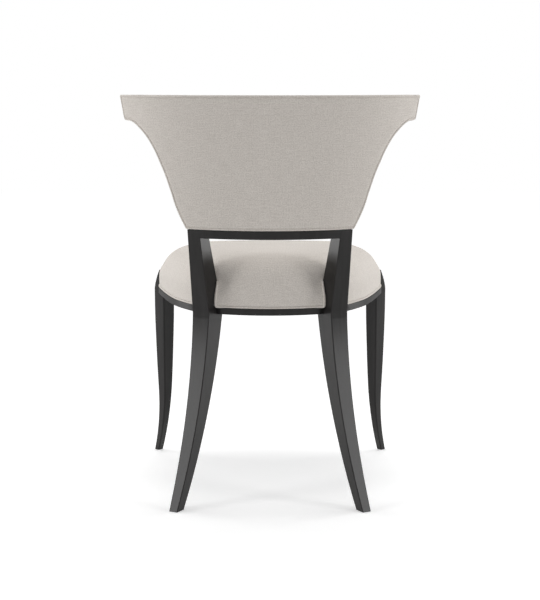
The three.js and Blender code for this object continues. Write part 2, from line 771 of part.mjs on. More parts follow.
function makeRails() {
  const ring = railRing().subtract(grownLegs);
  const slack = jointGap / 2 / seatRearReach;
  const low = bandBottom - cutOverrun;
  const high = railTop + cutOverrun;
  const far = 3 * seatRearReach;
  const still = new THREE.Matrix4();
  const relief = boxAt(
    new THREE.Matrix4().setPosition(frontLegCentre.x - legHalfDiagonal, frontLegCentre.y, 0),
    new THREE.Vector3(-frontLeg.edgeEase, -frontLeg.edgeEase, low),
    new THREE.Vector3(frontLeg.edgeEase, frontLeg.edgeEase, high),
  );
  const behindLegs = boxAt(
    still,
    new THREE.Vector3(-far, frontLegCentre.y + jointGap / 2, low),
    new THREE.Vector3(far, far, high),
  );
  const beforeLegs = boxAt(
    still,
    new THREE.Vector3(-far, -far, low),
    new THREE.Vector3(far, frontLegCentre.y - jointGap / 2, high),
  );
  const drill = (rail, list) => list.reduce((solid, cutter) => solid.subtract(cutter), rail);
  const rearScrews = [cornerScrew(corners.rear, -1, jointGap)];
  rearScrews.push(mirrored(rearScrews[0]));
  const frontScrews = [cornerScrew(corners.front, 1, jointGap)];
  frontScrews.push(mirrored(frontScrews[0]));
  const sideScrews = [cornerScrew(corners.rear, 1, jointGap), cornerScrew(corners.front, -1, jointGap)];

  const rear = ring.intersect(wedge(-rearLegAngle + slack, rearLegAngle - slack, low, high))
    .add(postTenon(-1)).add(mirrored(postTenon(-1)));
  addPart("seat_rail_rear", drill(rear, rearScrews), lacquer());
  const side = ring.intersect(wedge(rearLegAngle + slack, Math.PI, low, high))
    .intersect(behindLegs).subtract(relief).add(postTenon(1)).add(sideTenon());
  const drilled = drill(side, sideScrews);
  addPart("seat_rail_left", drilled, lacquer());
  addPart("seat_rail_right", mirrored(drilled), lacquer());
  const front = ring.intersect(beforeLegs).subtract(relief).subtract(mirrored(relief))
    .add(frontTenon()).add(mirrored(frontTenon()));
  addPart("seat_rail_front", drill(front, frontScrews), lacquer());
}

function makeBackRail() {
  const steps = 16;
  const rings = [];
  for (let i = 0; i <= steps; i += 1) {
    const angle = mix(-rearLegAngle, rearLegAngle, i / steps);
    const low = rearFaceReach(backRailBottom);
    const high = rearFaceReach(backRailTop);
    rings.push([
      polar(low, angle, backRailBottom), polar(high, angle, backRailTop),
      polar(high - backRailDepth, angle, backRailTop), polar(low - backRailDepth, angle, backRailBottom),
    ]);
  }
  const rail = loft(rings).subtract(grownRearLegs).add(backRailTenon()).add(mirrored(backRailTenon()));
  addPart("back_rail", rail, lacquer());
}

function makeCorners() {
  for (const [place, corner] of Object.entries(corners)) {
    const solid = cornerBlock(corner);
    addPart(`corner_block_${place}_left`, solid, beech());
    addPart(`corner_block_${place}_right`, mirrored(solid), beech());
    [1, -1].forEach((side, i) => {
      const body = cornerScrew(corner, side);
      addPart(`block_screw_${place}_left_${i + 1}`, body, steel());
      addPart(`block_screw_${place}_right_${i + 1}`, mirrored(body), steel());
    });
  }
}

function makeGlides() {
  const rear = glideBody(glide.rearRadius, rearFootCentre());
  const front = glideBody(glide.frontRadius, frontFootCentre);
  addPart("glide_rear_left", rear, nylon());
  addPart("glide_rear_right", mirrored(rear), nylon());
  addPart("glide_front_left", front, nylon());
  addPart("glide_front_right", mirrored(front), nylon());
}

function makeWebbing() {
  const postFace = polar(rearLeg.kneeReach - rearLeg.kneeDepth, rearLegAngle, 0).x;
  const across = postFace - (rearLeg.kneeWidth + webbing.width) / 2;
  const along = crossStrapReachShare * ((seatRearReach + seatFrontReach) / 2 - 1.5 * webbing.width);
  const xs = strapShares.map((share) => share * across);
  const ys = strapShares.map((share) => seatCentre.y + share * along);
  ys.forEach((y, i) => {
    const edges = [y - webbing.width / 2, y + webbing.width / 2];
    const reaches = edges.map((edge) => nearestOnPlan((point) => point.x > 0, "y", edge).x);
    const end = Math.min(...reaches) - webbing.endInset;
    addPart(`webbing_cross_${i + 1}`, strapBody(true, y, -end, end, xs, i % 2 === 0 ? 1 : -1), jute());
  });
  xs.forEach((x, i) => {
    const outer = Math.abs(x) + webbing.width / 2;
    const low = nearestOnPlan((point) => point.y < 0, "x", outer).y + webbing.endInset;
    const high = nearestOnPlan((point) => point.y > 0, "x", outer).y - webbing.endInset;
    addPart(`webbing_long_${i + 1}`, strapBody(false, x, low, high, ys, i % 2 === 0 ? -1 : 1), jute());
  });
}

// The seat's upholstery

const weltRest = bandTop + jointGap + seatWeltDiameter / 2;
const coverBottom = weltRest + seatWeltDiameter / 2 + jointGap;
const postCutter = rearLegBody(notchClearance);
const postCutters = postCutter.add(mirrored(postCutter));

// How far the seat's edge is from the axis, measured along the post's own plane
function edgeReachBeside(across) {
  const inPlane = seatPlan.filter(({ point }) => point.x > 0 && point.y > 0).map(({ point }) => [
    point.x * Math.cos(rearLegAngle) - point.y * Math.sin(rearLegAngle),
    point.x * Math.sin(rearLegAngle) + point.y * Math.cos(rearLegAngle),
  ]);
  return alongTable(inPlane.sort((one, other) => one[0] - other[0]), across);
}

// Where the seat's edge meets a face of the rear post, for the welt's turn
function notchPoint(side, z) {
  const across = side * (rearLegWidth(z) / 2 + seatWeltDiameter / 2 + notchClearance);
  const reach = edgeReachBeside(across) - seatWeltInset;
  return new THREE.Vector3(across, 0, 0).applyMatrix4(radialFrame(rearLegAngle, reach, z));
}

function weltLine(side) {
  const turn = notchPoint(side, weltRest);
  const isBetween = ({ x, y }) => {
    const angle = Math.atan2(Math.abs(x), y);
    const limit = Math.atan2(turn.x, turn.y) + (side * seatWeltInset) / seatRearReach;
    return side > 0 ? angle > limit : angle < limit;
  };
  const loop = planOffset(-seatWeltInset, weltRest);
  const half = loop.filter((point, i) => i <= loop.length / 2 && isBetween(point));
  const otherSide = half.filter(({ x }) => x > jointGap)
    .map(({ x, y, z }) => new THREE.Vector3(-x, y, z)).reverse();
  const riser = [notchWeltHeight, 0].map((rise) => notchPoint(side, weltRest + rise));
  const otherRiser = riser.map(({ x, y, z }) => new THREE.Vector3(-x, y, z)).reverse();
  return side > 0
    ? [...riser, ...half, ...otherSide, ...otherRiser]
    : [...otherRiser.reverse(), ...otherSide, ...half, ...riser.reverse()];
}

// The corner of the cushion beside a post, cut away where its welt stands
function notchCorner(side) {
  const face = side * (rearLeg.kneeWidth / 2);
  const outer = face + side * (seatWeltDiameter + notchClearance + jointGap);
  const reach = edgeReachBeside(outer) - seatWeltInset - seatWeltDiameter / 2 - jointGap;
  return boxAt(
    radialFrame(rearLegAngle, reach, weltRest),
    new THREE.Vector3(Math.min(0, outer), 0, -seatWeltDiameter),
    new THREE.Vector3(Math.max(0, outer), cutOverrun, notchWeltHeight + jointGap),
  );
}

function makeSeatUpholstery() {
  const notches = notchCorner(1).add(notchCorner(-1));
  const cavity = cushionForm(seatCoverThickness, bandTop - cutOverrun);
  const cover = cushionForm(0, coverBottom, 1).subtract(cavity).subtract(postCutters)
    .subtract(notches).subtract(mirrored(notches));
  addPart("seat_cover", cover, linen());
  const foamBottom = railTop + 4 * jointGap + webbing.thickness + 2 * webbing.lift;
  const above = boxAt(
    new THREE.Matrix4(),
    new THREE.Vector3(-overallHeight, -overallHeight, foamBottom),
    new THREE.Vector3(overallHeight, overallHeight, overallHeight),
  );
  const pad = cushionForm(seatCoverThickness + jointGap, bandTop).intersect(above).subtract(postCutters);
  addPart("seat_foam", pad.subtract(notches).subtract(mirrored(notches)), foam());
  addPart("seat_welt_rear", bead(weltLine(-1), seatWeltDiameter / 2, 5, false), linen());
  addPart("seat_welt_front", bead(weltLine(1), seatWeltDiameter / 2, 5, false), linen());
  const sheetTop = bandBottom - jointGap;
  const sheet = loft([
    planInset(dustCoverInset, sheetTop - dustCoverThickness), planInset(dustCoverInset, sheetTop),
  ]);
  addPart("dust_cover", sheet.subtract(grownLegs), cambric());
}

// The back's upholstery, from the rear face forward

function makeBack() {
  const flat = (depth) => () => depth;
  const crowned = (edgeDepth) => (puff) => edgeDepth + back.crown * puff;
  const weltSeat = back.weltDiameter + 2 * jointGap;
  const waddingStart = back.coverThickness + jointGap;
  const coreStart = waddingStart + back.waddingThickness + jointGap;
  const coreEnd = coreStart + back.coreThickness;
  const frontEdge = back.thickness - back.crown;
  const shelf = frontEdge - weltSeat;
  const skin = back.coverThickness;
  const slack = skin + 2 * jointGap;

  const grooves = tongueBody(jointGap, cutOverrun);
  const passage = tongueBody(2 * jointGap);
  let core = backPanel([
    { edge: weltSeat, depth: flat(coreStart) }, { edge: slack, depth: flat(coreStart + skin) },
    { edge: slack, depth: flat(coreEnd) },
  ]).subtract(grooves).subtract(mirrored(grooves));
  for (const share of tongueScrewShares) {
    const hole = screwBody(tongueScrew, tongueScrewPlacement(share), jointGap);
    core = core.subtract(hole).subtract(mirrored(hole));
  }
  addPart("back_core", core, beech());

  addPart("back_wadding", backPanel([
    { edge: weltSeat, depth: flat(waddingStart) },
    { edge: weltSeat, depth: flat(waddingStart + back.waddingThickness) },
  ]), foam());
  addPart("back_foam", backPanel([
    { edge: slack, depth: flat(coreEnd + jointGap) },
    { edge: slack, depth: flat(shelf - slack) },
    { edge: weltSeat + slack, depth: flat(shelf - slack) },
    { edge: weltSeat + slack, depth: crowned(frontEdge - slack) },
  ]), foam());
  addPart("back_cover_rear", backPanel([
    { edge: weltSeat, depth: flat(0) }, { edge: weltSeat, depth: flat(skin) },
  ]), linen());

  const shell = backPanel([
    { edge: 0, depth: flat(weltSeat) }, { edge: 0, depth: flat(shelf) },
    { edge: weltSeat, depth: flat(shelf) }, { edge: weltSeat, depth: crowned(frontEdge) },
  ]);
  const hollow = backPanel([
    { edge: skin, depth: flat(-cutOverrun) }, { edge: skin, depth: flat(shelf - skin) },
    { edge: weltSeat + skin, depth: flat(shelf - skin) },
    { edge: weltSeat + skin, depth: crowned(frontEdge - skin) },
  ]);
  addPart(
    "back_cover_front",
    shell.subtract(hollow).subtract(passage).subtract(mirrored(passage)),
    linen(),
  );
  addPart("back_welt_rear", backWelt(back.weltDiameter / 2), linen());
  addPart("back_welt_front", backWelt(shelf + jointGap + back.weltDiameter / 2), linen());
  tongueScrewShares.forEach((share, i) => {
    const body = screwBody(tongueScrew, tongueScrewPlacement(share));
    addPart(`tongue_screw_left_${i + 1}`, body, steel());
    addPart(`tongue_screw_right_${i + 1}`, mirrored(body), steel());
  });
}

makeRearLegs();
makeFrontLegs();
makeRails();
makeBackRail();
makeCorners();
makeGlides();
makeWebbing();
makeSeatUpholstery();
makeBack();

const footprint = new THREE.Box3().setFromObject(chair, true);
chair.position.y = -(footprint.min.y + footprint.max.y) / 2;

export default chair;
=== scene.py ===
# A klismos dining chair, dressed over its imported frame.
# Lengths in the dictionaries are millimetres, but the lamps and the floor's glow are
# in metres. The rear legs, the back rail and the back are gathered about one upright
# line, the axis, so their places are a reach from it, an angle round it and a height.

import json
import math

import bmesh
import bpy
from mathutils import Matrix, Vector
from mathutils.geometry import interpolate_bezier


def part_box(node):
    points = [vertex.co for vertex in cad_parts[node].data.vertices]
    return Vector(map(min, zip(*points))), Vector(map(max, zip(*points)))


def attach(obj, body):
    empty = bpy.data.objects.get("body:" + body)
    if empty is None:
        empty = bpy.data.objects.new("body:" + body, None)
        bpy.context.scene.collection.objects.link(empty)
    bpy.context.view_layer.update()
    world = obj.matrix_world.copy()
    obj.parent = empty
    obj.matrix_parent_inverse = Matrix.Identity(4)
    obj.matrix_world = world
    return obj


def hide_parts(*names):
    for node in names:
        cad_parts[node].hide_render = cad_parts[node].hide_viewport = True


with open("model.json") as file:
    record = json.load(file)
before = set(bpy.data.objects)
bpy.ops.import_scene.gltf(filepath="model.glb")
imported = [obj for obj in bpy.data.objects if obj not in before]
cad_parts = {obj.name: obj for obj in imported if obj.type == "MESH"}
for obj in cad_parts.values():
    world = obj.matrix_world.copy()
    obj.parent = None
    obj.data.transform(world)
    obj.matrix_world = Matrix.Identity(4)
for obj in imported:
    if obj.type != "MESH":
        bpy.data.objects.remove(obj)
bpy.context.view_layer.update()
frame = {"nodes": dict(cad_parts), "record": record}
bpy.ops.object.select_all(action="DESELECT")
print("frame loaded:", len(frame["nodes"]), "nodes")

mm = 0.001
metre = 1 / mm
shell = {
    "bandBottom": 395, "bandTop": 408.5, "railTop": 441,
    "railBottom": 558.7, "railTopOfBack": 576, "top": 850,
    "lowReach": 324.4, "topReach": 374.25, "legAngle": math.radians(29.2),
}
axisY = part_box("back_rail")[1].y / mm - shell["lowReach"]


# Shapes


def mix(a, b, share):
    return a + (b - a) * share


def polar(reach, angle, z):
    return Vector((reach * math.sin(angle), axisY + reach * math.cos(angle), z))


def splineThrough(points, steps, closed=False):  # a smooth line through a few places
    count = len(points)
    spans = count if closed else count - 1
    line = []
    for i in range(spans):
        a = points[i]
        b = points[(i + 1) % count]
        before = points[(i - 1) % count] if closed or i > 0 else a * 2 - b
        after = points[(i + 2) % count] if closed or i + 2 < count else b * 2 - a
        handleA = a + (b - before) / 6
        handleB = b - (after - a) / 6
        line += interpolate_bezier(a, handleA, handleB, b, steps + 1)[:-1]
    if not closed:
        line.append(points[-1])
    return line


tableSteps = 12


def alongTable(table, share):  # a smooth value between a table's rows
    line = splineThrough([Vector((at, value, 0)) for at, value in table], tableSteps)
    for a, b in zip(line, line[1:]):
        if share <= b.x:
            return mix(a.y, b.y, (share - a.x) / max(b.x - a.x, 1e-9))
    return line[-1].y


def meshPiece(name, points, faces, material, uvs=None):
    mesh = bpy.data.meshes.new(name)
    mesh.from_pydata([point * mm for point in points], [], faces)
    mesh.update()
    if uvs:
        layer = mesh.uv_layers.new(name="clothPlaces")
        for loop in mesh.loops:
            layer.data[loop.index].uv = [value * mm for value in uvs[loop.vertex_index]]
    body = bmesh.new()
    body.from_mesh(mesh)
    bmesh.ops.recalc_face_normals(body, faces=body.faces)
    body.to_mesh(mesh)
    body.free()
    piece = bpy.data.objects.new(name, mesh)
    bpy.context.scene.collection.objects.link(piece)
    piece.data.materials.append(material)
    return piece


def shadeSmooth(piece, angle=35):
    bpy.context.view_layer.objects.active = piece
    piece.select_set(True)
    bpy.ops.object.shade_smooth_by_angle(angle=math.radians(angle))
    piece.select_set(False)


def loftFaces(rings, count, closed=False):
    spans = rings if closed else rings - 1
    faces = []
    for i in range(spans):
        a = i * count
        b = (i + 1) % rings * count
        faces += [(a + j, a + (j + 1) % count, b + (j + 1) % count, b + j) for j in range(count)]
    if not closed:
        faces.append(tuple(range(count)))
        faces.append(tuple(range((rings - 1) * count, rings * count)))
    return faces


def loftPiece(name, rings, material):
    points = [point for ring in rings for point in ring]
    return meshPiece(name, points, loftFaces(len(rings), len(rings[0])), material)


flatMargin = 0.4  # a row of places beside each rounded edge keeps the flats flat


def roundedEdge(x, y, ease, start, steps=4):  # a quarter turn, with its two margins
    places = []
    for step in range(-1, steps + 2):
        turn = start + min(max(step, 0), steps) / steps * math.pi / 2
        along = flatMargin * (min(step, 0) + max(step - steps, 0))
        places.append((x + ease * math.cos(turn) - along * math.sin(turn),
                       y + ease * math.sin(turn) + along * math.cos(turn)))
    return places


def easedSection(width, depth, ease, steps=4):  # a rectangle with rounded corners
    section = []
    for corner, (sx, sy) in enumerate(((1, 1), (-1, 1), (-1, -1), (1, -1))):
        section += roundedEdge(sx * (width / 2 - ease), sy * (depth / 2 - ease), ease,
                               corner * math.pi / 2, steps)
    return section


def dress(piece, slot, *nodes):  # hangs the piece under the root and hides the frame's parts that it stands for
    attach(piece, "root")
    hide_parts(*nodes)


def cutWith(piece, other, operation):
    modifier = piece.modifiers.new("cut", "BOOLEAN")
    modifier.object = other
    modifier.operation = operation
    modifier.solver = "EXACT"
    bpy.context.view_layer.objects.active = piece
    bpy.ops.object.modifier_apply(modifier=modifier.name)
    bpy.data.objects.remove(other)


# Materials


def linear(hexColour):  # sRGB hex to the linear colour that Blender wants
    values = [int(hexColour[i:i + 2], 16) / 255 for i in (1, 3, 5)]
    return [v / 12.92 if v <= 0.04045 else ((v + 0.055) / 1.055) ** 2.4 for v in values] + [1]


def addNode(owner, kind, links=None, stops=(), **settings):  # owner is a material or the world
    tree = owner.node_tree
    node = tree.nodes.new(kind)
    for name, value in settings.items():
        if name.startswith("in_"):
            key = name[3:]
            node.inputs[int(key) if key.isdigit() else key.replace("_", " ")].default_value = value
        else:
            setattr(node, name, value)
    for element, (place, colour) in zip(node.color_ramp.elements if stops else (), stops):
        element.position = place
        element.color = linear(colour)
    for socket, source in (links or {}).items():
        tree.links.new(source, node.inputs[socket])
    return node


def newMaterial(name, **settings):
    material = bpy.data.materials.new(name)
    material.use_nodes = True
    shader = material.node_tree.nodes["Principled BSDF"]
    for key, value in settings.items():
        shader.inputs[key.replace("_", " ")].default_value = value
    return material


def intoShader(material, **links):  # what feeds the finish: Base_Color, Roughness and so on
    shader = material.node_tree.nodes["Principled BSDF"]
    for key, source in links.items():
        material.node_tree.links.new(source, shader.inputs[key.replace("_", " ")])


waveShare = 1 / 6.28  # times the scale: one wave then spans two threads, one up and one down


def makeWeave(material, place, look, **settings):  # two sets of threads, crossing
    waves = []
    for axis in ("X", "Y"):
        waves.append(addNode(material, "ShaderNodeTexWave", {0: place}, bands_direction=axis,
                             in_Scale=metre / look["thread"] * waveShare,
                             in_Distortion=look["waver"], **settings).outputs["Fac"])
    return addNode(material, "ShaderNodeMath", {0: waves[0], 1: waves[1]},
                   operation="MULTIPLY").outputs[0]


# Beech under a charcoal satin lacquer, sprayed: nearly black, with soft wide
# reflections and only a trace of the grain, and duller along its surface
lacquerLook = {
    "colours": [(0.35, "#1e1d1c"), (0.7, "#252323")], "smooth": 0.16, "rough": 0.22,
    "specular": 0.23, "grain": 0.5, "figure": 14, "grainStretch": 0.06, "bump": 0.02,
    "relief": 0.1, "dullFrom": 0.4, "dullTo": 0.72, "dulled": 0.5,
}


def makeLacquer():
    look = lacquerLook
    material = newMaterial("charcoalSatinLacquer", IOR=1.5, Specular_IOR_Level=look["specular"])
    place = addNode(material, "ShaderNodeTexCoord").outputs["Object"]
    long = addNode(material, "ShaderNodeMapping", {0: place},
                   in_Scale=(1, 1, look["grainStretch"])).outputs[0]
    pores = addNode(material, "ShaderNodeTexNoise", {0: long}, in_Detail=2.0,
                    in_Scale=metre / look["grain"])
    figure = addNode(material, "ShaderNodeTexNoise", {0: long}, in_Detail=3.0,
                     in_Scale=metre / look["figure"])
    colour = addNode(material, "ShaderNodeValToRGB", {0: figure.outputs[0]}, look["colours"])
    rough = addNode(material, "ShaderNodeMapRange", {0: figure.outputs[0]},
                    in_3=look["smooth"], in_4=look["rough"])
    facing = addNode(material, "ShaderNodeLayerWeight", in_Blend=0.5).outputs["Facing"]
    dulled = addNode(material, "ShaderNodeMapRange", {0: facing}, in_1=look["dullFrom"],
                     in_2=look["dullTo"], in_3=0.0, in_4=look["dulled"])
    rough = addNode(material, "ShaderNodeMath", {0: rough.outputs[0], 1: dulled.outputs[0]},
                    operation="ADD")
    bump = addNode(material, "ShaderNodeBump", {"Height": pores.outputs[0]},
                   in_Strength=look["bump"], in_Distance=look["relief"] * mm)
    intoShader(material, Base_Color=colour.outputs[0], Roughness=rough.outputs[0],
               Normal=bump.outputs[0])
    return material


# Linen, plain woven and undyed: matt, warm off-white, thicker threads here and
# there. Threads are about 0.6 mm; drawn at 1.5 mm so that the weave shows at all
linenLook = {
    "colours": [(0.37, "#c4bdb6"), (0.61, "#ddd7d0")], "thread": 1.5, "waver": 0.6,
    "slubLong": 26, "slubWide": 1.8, "speckle": 2.4, "crossShare": 0.4, "speckShare": 0.55,
    "bump": 0.25, "relief": 0.4, "sheen": 0.12, "specular": 0.2,
}


def makeLinen():
    look = linenLook
    material = newMaterial("wovenGreigeLinen", Roughness=0.9, Sheen_Weight=look["sheen"],
                           Sheen_Roughness=0.6, Specular_IOR_Level=look["specular"])
    place = addNode(material, "ShaderNodeUVMap", uv_map="clothPlaces").outputs[0]
    long, wide = metre / look["slubLong"], metre / look["slubWide"]
    slubs = []
    for scale in ((long, wide, 1), (wide, long, 1)):  # weft, then warp
        yarn = addNode(material, "ShaderNodeMapping", {0: place}, in_Scale=scale).outputs[0]
        slubs.append(addNode(material, "ShaderNodeTexNoise", {0: yarn}, in_Scale=1.0,
                             in_Detail=2.0).outputs[0])
    specks = addNode(material, "ShaderNodeTexNoise", {0: place}, in_Detail=1.0,
                     in_Scale=metre / look["speckle"])
    both = addNode(material, "ShaderNodeMix", {2: slubs[0], 3: slubs[1]}, in_0=look["crossShare"])
    cloth = addNode(material, "ShaderNodeMix", {2: both.outputs[0], 3: specks.outputs[0]},
                    in_0=look["speckShare"])
    colour = addNode(material, "ShaderNodeValToRGB", {0: cloth.outputs[0]}, look["colours"])
    weave = makeWeave(material, place, look, in_Detail=1.0)
    height = addNode(material, "ShaderNodeMath", {0: weave, 1: cloth.outputs[0]}, operation="ADD")
    bump = addNode(material, "ShaderNodeBump", {"Height": height.outputs[0]},
                   in_Strength=look["bump"], in_Distance=look["relief"] * mm)
    intoShader(material, Base_Color=colour.outputs[0], Normal=bump.outputs[0])
    return material


# Plain beech, planed and left bare: pale tan with short dark flecks
beechLook = {
    "colours": [(0.4, "#b8905f"), (0.6, "#d2b083")], "fleck": 0.9, "stretch": 0.12,
    "bump": 0.15, "relief": 0.2,
}


def makeBeech():
    look = beechLook
    material = newMaterial("planedBeech", Roughness=0.6)
    place = addNode(material, "ShaderNodeTexCoord").outputs["Object"]
    along = addNode(material, "ShaderNodeMapping", {0: place}, in_Scale=(look["stretch"], 1, 1))
    grain = addNode(material, "ShaderNodeTexNoise", {0: along.outputs[0]}, in_Detail=4.0,
                    in_Scale=metre / look["fleck"])
    colour = addNode(material, "ShaderNodeValToRGB", {0: grain.outputs[0]}, look["colours"])
    bump = addNode(material, "ShaderNodeBump", {"Height": grain.outputs[0]},
                   in_Strength=look["bump"], in_Distance=look["relief"] * mm)
    intoShader(material, Base_Color=colour.outputs[0], Normal=bump.outputs[0])
    return material


# Polyurethane foam and polyester wadding, cut: cream and open-celled
foamLook = {
    "colours": [(0.1, "#d8cba8"), (0.5, "#efe6cc")], "cell": 1.5, "bump": 0.4, "relief": 0.5,
}


def makeFoam():
    look = foamLook
    material = newMaterial("openCellFoam", Roughness=1.0)
    place = addNode(material, "ShaderNodeTexCoord").outputs["Object"]
    cells = addNode(material, "ShaderNodeTexVoronoi", {0: place}, in_Scale=metre / look["cell"])
    colour = addNode(material, "ShaderNodeValToRGB", {0: cells.outputs[0]}, look["colours"])
    bump = addNode(material, "ShaderNodeBump", {"Height": cells.outputs[0]},
                   in_Strength=look["bump"], in_Distance=look["relief"] * mm)
    intoShader(material, Base_Color=colour.outputs[0], Normal=bump.outputs[0])
    return material


# Jute webbing, a coarse plain weave: brown, with each yarn standing up
juteLook = {
    "colours": [(0, "#6d5b3e"), (0.6, "#a08b66")], "thread": 2.2, "waver": 1.2,
    "roughness": 0.95, "bump": 0.5, "relief": 0.5,
}
# Black cambric, glazed on one side: thin, dull black with a fine grid
cambricLook = {
    "colours": [(0, "#161616"), (0.6, "#2a2a2a")], "thread": 1.2, "waver": 1.2,
    "roughness": 0.8, "bump": 0.5, "relief": 0.5,
}


def makeCloth(name, look):
    material = newMaterial(name, Roughness=look["roughness"])
    place = addNode(material, "ShaderNodeTexCoord").outputs["Object"]
    weave = makeWeave(material, place, look)
    colour = addNode(material, "ShaderNodeValToRGB", {0: weave}, look["colours"])
    bump = addNode(material, "ShaderNodeBump", {"Height": weave}, in_Strength=look["bump"],
                   in_Distance=look["relief"] * mm)
    intoShader(material, Base_Color=colour.outputs[0], Normal=bump.outputs[0])
    return material


# Zinc-plated steel screws: pale grey metal, slightly mottled
steelLook = {
    "colours": [(0.3, "#a6a7a8"), (0.7, "#c3c3c0")], "mottle": 1.1111,
    "smooth": 0.25, "rough": 0.42,
}
# Nylon glides, moulded black: satin with a faint grain from the mould
nylonLook = {
    "colours": [(0.3, "#1d1d1d"), (0.7, "#262626")], "mottle": 0.4,
    "smooth": 0.42, "rough": 0.55,
}


def makeMottled(name, look, detail, **settings):
    material = newMaterial(name, **settings)
    place = addNode(material, "ShaderNodeTexCoord").outputs["Object"]
    mottle = addNode(material, "ShaderNodeTexNoise", {0: place}, in_Detail=detail,
                     in_Scale=metre / look["mottle"])
    colour = addNode(material, "ShaderNodeValToRGB", {0: mottle.outputs[0]}, look["colours"])
    rough = addNode(material, "ShaderNodeMapRange", {0: mottle.outputs[0]},
                    in_3=look["smooth"], in_4=look["rough"])
    intoShader(material, Base_Color=colour.outputs[0], Roughness=rough.outputs[0])
    return material


finishes = {
    "lacquered_wood": makeLacquer(),
    "linen": makeLinen(),
    "beech": makeBeech(),
    "foam": makeFoam(),
    "jute": makeCloth("juteWebbing", juteLook),
    "cambric": makeCloth("blackCambric", cambricLook),
    "steel": makeMottled("zincPlatedSteel", steelLook, 3.0, Metallic=1.0),
    "nylon": makeMottled("mouldedNylon", nylonLook, 2.0, IOR=1.53),
}
slotOf = {row["node"]: row["material_slot"] for row in frame["record"]["subparts"]}
for name, node in frame["nodes"].items():
    node.data.materials.clear()
    node.data.materials.append(finishes[slotOf[name]])
print("materials:", len(finishes))


# Rear legs: sabre legs that go on as posts, and as tongues inside the back

rearLeg = {
    "footReach": 409.5, "footLean": 0.504, "footWidth": 19.8, "footDepth": 26.6,
    "kneeReach": 296, "kneeLean": 0.079, "kneeWidth": 40.3, "kneeDepth": 55.9,
    "topWidth": 28.5, "topDepth": 34.8, "ease": 1.6, "widthSwell": 0.857, "depthSwell": 0.985,
    "knee": 398.7, "foot": 0.8, "tongueTop": 790, "tongueWidth": 24, "tongueThickness": 12,
    "tongueInset": 7.3, "tongueEase": 1.5, "legRows": 36, "postRows": 16,
}


def coneReach(z):
    share = (z - shell["railTopOfBack"]) / (shell["top"] - shell["railTopOfBack"])
    return mix(shell["lowReach"], shell["topReach"], share)


def sweptReach(z):  # the rear face below the knee, a cubic from foot to knee
    leg = rearLeg
    knee = leg["knee"]
    handles = (leg["footReach"], leg["footReach"] - leg["footLean"] * knee / 3,
               leg["kneeReach"] + leg["kneeLean"] * knee / 3, leg["kneeReach"])
    t = z / knee
    weights = ((1 - t) ** 3, 3 * t * (1 - t) ** 2, 3 * t * t * (1 - t), t ** 3)
    return sum(weight * handle for weight, handle in zip(weights, handles))


def rearFaceReach(z):
    leg = rearLeg
    if z < leg["knee"]:
        return sweptReach(z)
    if z > shell["railTopOfBack"]:
        return coneReach(z)
    return mix(leg["kneeReach"], shell["lowReach"],
               (z - leg["knee"]) / (shell["railTopOfBack"] - leg["knee"]))


def rearLegSize(z):
    leg = rearLeg
    if z < leg["knee"]:
        share = z / leg["knee"]
        return (mix(leg["footWidth"], leg["kneeWidth"], share ** leg["widthSwell"]),
                mix(leg["footDepth"], leg["kneeDepth"], share ** leg["depthSwell"]))
    share = (z - leg["knee"]) / (shell["railTopOfBack"] - leg["knee"])
    return (mix(leg["kneeWidth"], leg["topWidth"], share),
            mix(leg["kneeDepth"], leg["topDepth"], share))


def besideLeg(reach, across, z):  # a place from the axis along and across the left leg's plane
    angle = shell["legAngle"]
    return Vector((reach * math.sin(angle) + across * math.cos(angle),
                   axisY + reach * math.cos(angle) - across * math.sin(angle), z))


def mirrored(point, side):
    return Vector((side * point.x, point.y, point.z))


def radialRing(section, reach, z, side):
    return [mirrored(besideLeg(reach + out, across, z), side) for across, out in section]


def rearLegRings(side, grow=0.0):
    knee, low, high = rearLeg["knee"], rearLeg["foot"] - grow, shell["railTopOfBack"] + grow
    legRows, postRows = rearLeg["legRows"], rearLeg["postRows"]
    heights = [mix(low, knee, i / legRows) for i in range(legRows + 1)]
    heights += [mix(knee, high, i / postRows) for i in range(1, postRows + 1)]
    rings = []
    for z in heights:
        level = min(max(z, 0), shell["railTopOfBack"])
        width, depth = rearLegSize(level)
        section = easedSection(width + 2 * grow, depth + 2 * grow, rearLeg["ease"] + grow)
        rings.append(radialRing(section, rearFaceReach(level) - depth / 2, z, side))
    return rings


def makeRearLeg(side, name):
    leg = loftPiece("rearLeg" + name, rearLegRings(side), finishes["lacquered_wood"])
    thickness = rearLeg["tongueThickness"]
    section = easedSection(rearLeg["tongueWidth"], thickness, rearLeg["tongueEase"])
    inset = rearLeg["tongueInset"] + thickness / 2
    rings = [radialRing(section, coneReach(z) - inset, z, side)
             for z in (shell["railTopOfBack"] - thickness, rearLeg["tongueTop"])]
    tongue = loftPiece("tongue" + name, rings, finishes["lacquered_wood"])
    bpy.context.view_layer.objects.active = leg
    leg.select_set(True)
    tongue.select_set(True)
    bpy.ops.object.join()
    leg.select_set(False)
    shadeSmooth(leg)
    dress(leg, "lacquered_wood", "rear_leg_" + name.lower())


for side, name in ((1, "Left"), (-1, "Right")):
    makeRearLeg(side, name)
print("rear legs done")


# The seat's outline, from rear middle to front middle

seatPlan = {"halfWidth": 257.3, "rear": 267, "front": 190.6, "arcSteps": 3, "steps": 16}
seatSideShares = [  # from the rear leg to the widest place: shares outward and forward
    (0.167, 0.052), (0.324, 0.124), (0.491, 0.236), (0.611, 0.338), (0.753, 0.508),
    (0.887, 0.715), (0.988, 0.898),
]
seatFrontShares = [  # on to the front middle: shares of the half width and of the front
    (1, 0.572), (0.985, 0.703), (0.94, 0.781), (0.832, 0.838), (0.58, 0.917), (0.29, 0.98), (0, 1),
]


